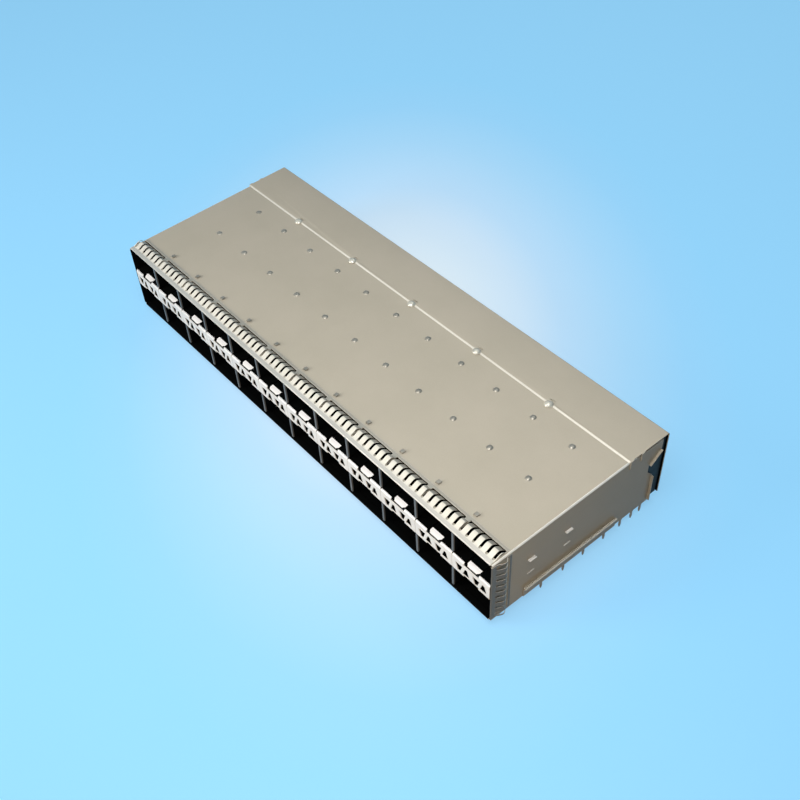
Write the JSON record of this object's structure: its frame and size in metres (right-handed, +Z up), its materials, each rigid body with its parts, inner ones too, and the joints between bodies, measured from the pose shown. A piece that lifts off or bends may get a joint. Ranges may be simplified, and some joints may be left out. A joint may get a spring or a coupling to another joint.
{
  "type": "stacked sfp cage",
  "caption": "Two-row ganged metal cage for pluggable optical modules, with spring gaskets, latch tongues, light pipes and black edge connectors.",
  "frame": {"origin": "middle of the base plate's length, on its seating face against the board", "axes": "+X along the row of ports, -Y out of the ports' mouths, +Z up from the circuit board"},
  "size_m": [0.1734, 0.064, 0.0282],
  "materials": {
    "shell_steel": "satin plated sheet steel, warm grey",
    "inner_steel": "plain plated sheet steel",
    "spring_steel": "bright plated spring sheet",
    "light_pipe_plastic": "smooth moulded light-pipe plastic, unlit and dark",
    "connector_plastic": "black moulded plastic",
    "contact_metal": "gold-plated copper alloy"
  },
  "bodies": {
    "root": {"front_shell": "shell_steel", "rear_cover": "shell_steel", "base_plate": "inner_steel", "gasket_top": "spring_steel", "gasket_bottom": "spring_steel", "gasket_left": "spring_steel", "gasket_right": "spring_steel", "divider_clips": "spring_steel", "divider_1": "inner_steel", "divider_2": "inner_steel", "divider_3": "inner_steel", "divider_4": "inner_steel", "divider_5": "inner_steel", "divider_6": "inner_steel", "divider_7": "inner_steel", "divider_8": "inner_steel", "divider_9": "inner_steel", "divider_10": "inner_steel", "divider_11": "inner_steel", "separator_1": "spring_steel", "separator_2": "spring_steel", "separator_3": "spring_steel", "separator_4": "spring_steel", "separator_5": "spring_steel", "separator_6": "spring_steel", "separator_7": "spring_steel", "separator_8": "spring_steel", "separator_9": "spring_steel", "separator_10": "spring_steel", "separator_11": "spring_steel", "separator_12": "spring_steel", "light_pipes_1": "light_pipe_plastic", "light_pipes_2": "light_pipe_plastic", "light_pipes_3": "light_pipe_plastic", "light_pipes_4": "light_pipe_plastic", "light_pipes_5": "light_pipe_plastic", "light_pipes_6": "light_pipe_plastic", "light_pipes_7": "light_pipe_plastic", "light_pipes_8": "light_pipe_plastic", "light_pipes_9": "light_pipe_plastic", "light_pipes_10": "light_pipe_plastic", "light_pipes_11": "light_pipe_plastic", "light_pipes_12": "light_pipe_plastic", "connector_1": "connector_plastic", "connector_2": "connector_plastic", "connector_3": "connector_plastic", "connector_4": "connector_plastic", "connector_5": "connector_plastic", "connector_6": "connector_plastic", "connector_7": "connector_plastic", "connector_8": "connector_plastic", "connector_9": "connector_plastic", "connector_10": "connector_plastic", "connector_11": "connector_plastic", "connector_12": "connector_plastic", "upper_contacts": "contact_metal", "lower_contacts": "contact_metal"}
  },
  "joints": []
}
